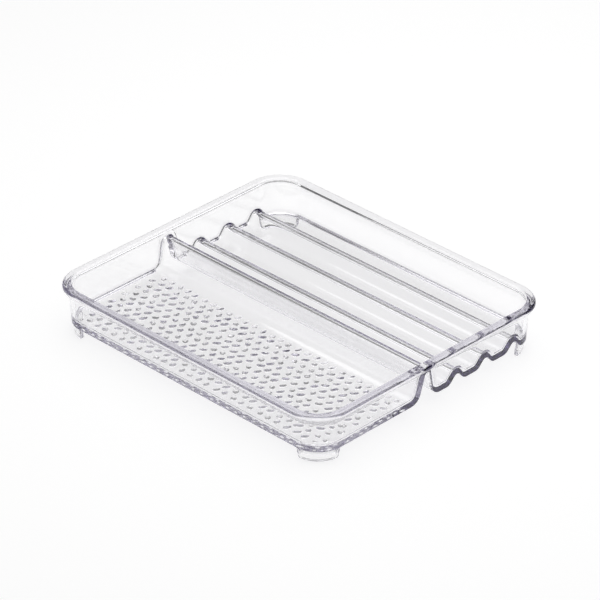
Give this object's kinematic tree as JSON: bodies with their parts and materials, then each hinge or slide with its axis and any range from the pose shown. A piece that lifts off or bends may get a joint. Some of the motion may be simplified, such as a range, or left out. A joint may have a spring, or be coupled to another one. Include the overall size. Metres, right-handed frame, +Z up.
{
  "type": "vanity organizer tray",
  "caption": "Low clear plastic tray with a wide pebbled bay, a tall hollow divider, narrow lanes between wave ribs, a rounded rim and corner feet, for keeping cosmetics sorted.",
  "frame": {"origin": "centre of the tray's footprint, on the table under its feet", "axes": "+X along the lanes to the right end, +Y from the wide bay towards the lanes, +Z up"},
  "size_m": [0.2, 0.1734, 0.0295],
  "materials": {
    "clear_plastic": "clear, polished"
  },
  "bodies": {
    "root": {"rim_flange": "clear_plastic", "front_wall": "clear_plastic", "back_wall": "clear_plastic", "left_bay_wall": "clear_plastic", "left_lanes_wall": "clear_plastic", "right_bay_wall": "clear_plastic", "right_lanes_wall": "clear_plastic", "front_left_corner": "clear_plastic", "front_right_corner": "clear_plastic", "back_right_corner": "clear_plastic", "back_left_corner": "clear_plastic", "wide_bay_floor": "clear_plastic", "lane_1_floor": "clear_plastic", "lane_2_floor": "clear_plastic", "lane_3_floor": "clear_plastic", "lane_4_floor": "clear_plastic", "tall_divider": "clear_plastic", "lane_rib_1": "clear_plastic", "lane_rib_2": "clear_plastic", "lane_rib_3": "clear_plastic", "front_left_foot": "clear_plastic", "front_right_foot": "clear_plastic", "back_right_foot": "clear_plastic", "back_left_foot": "clear_plastic"}
  },
  "joints": []
}
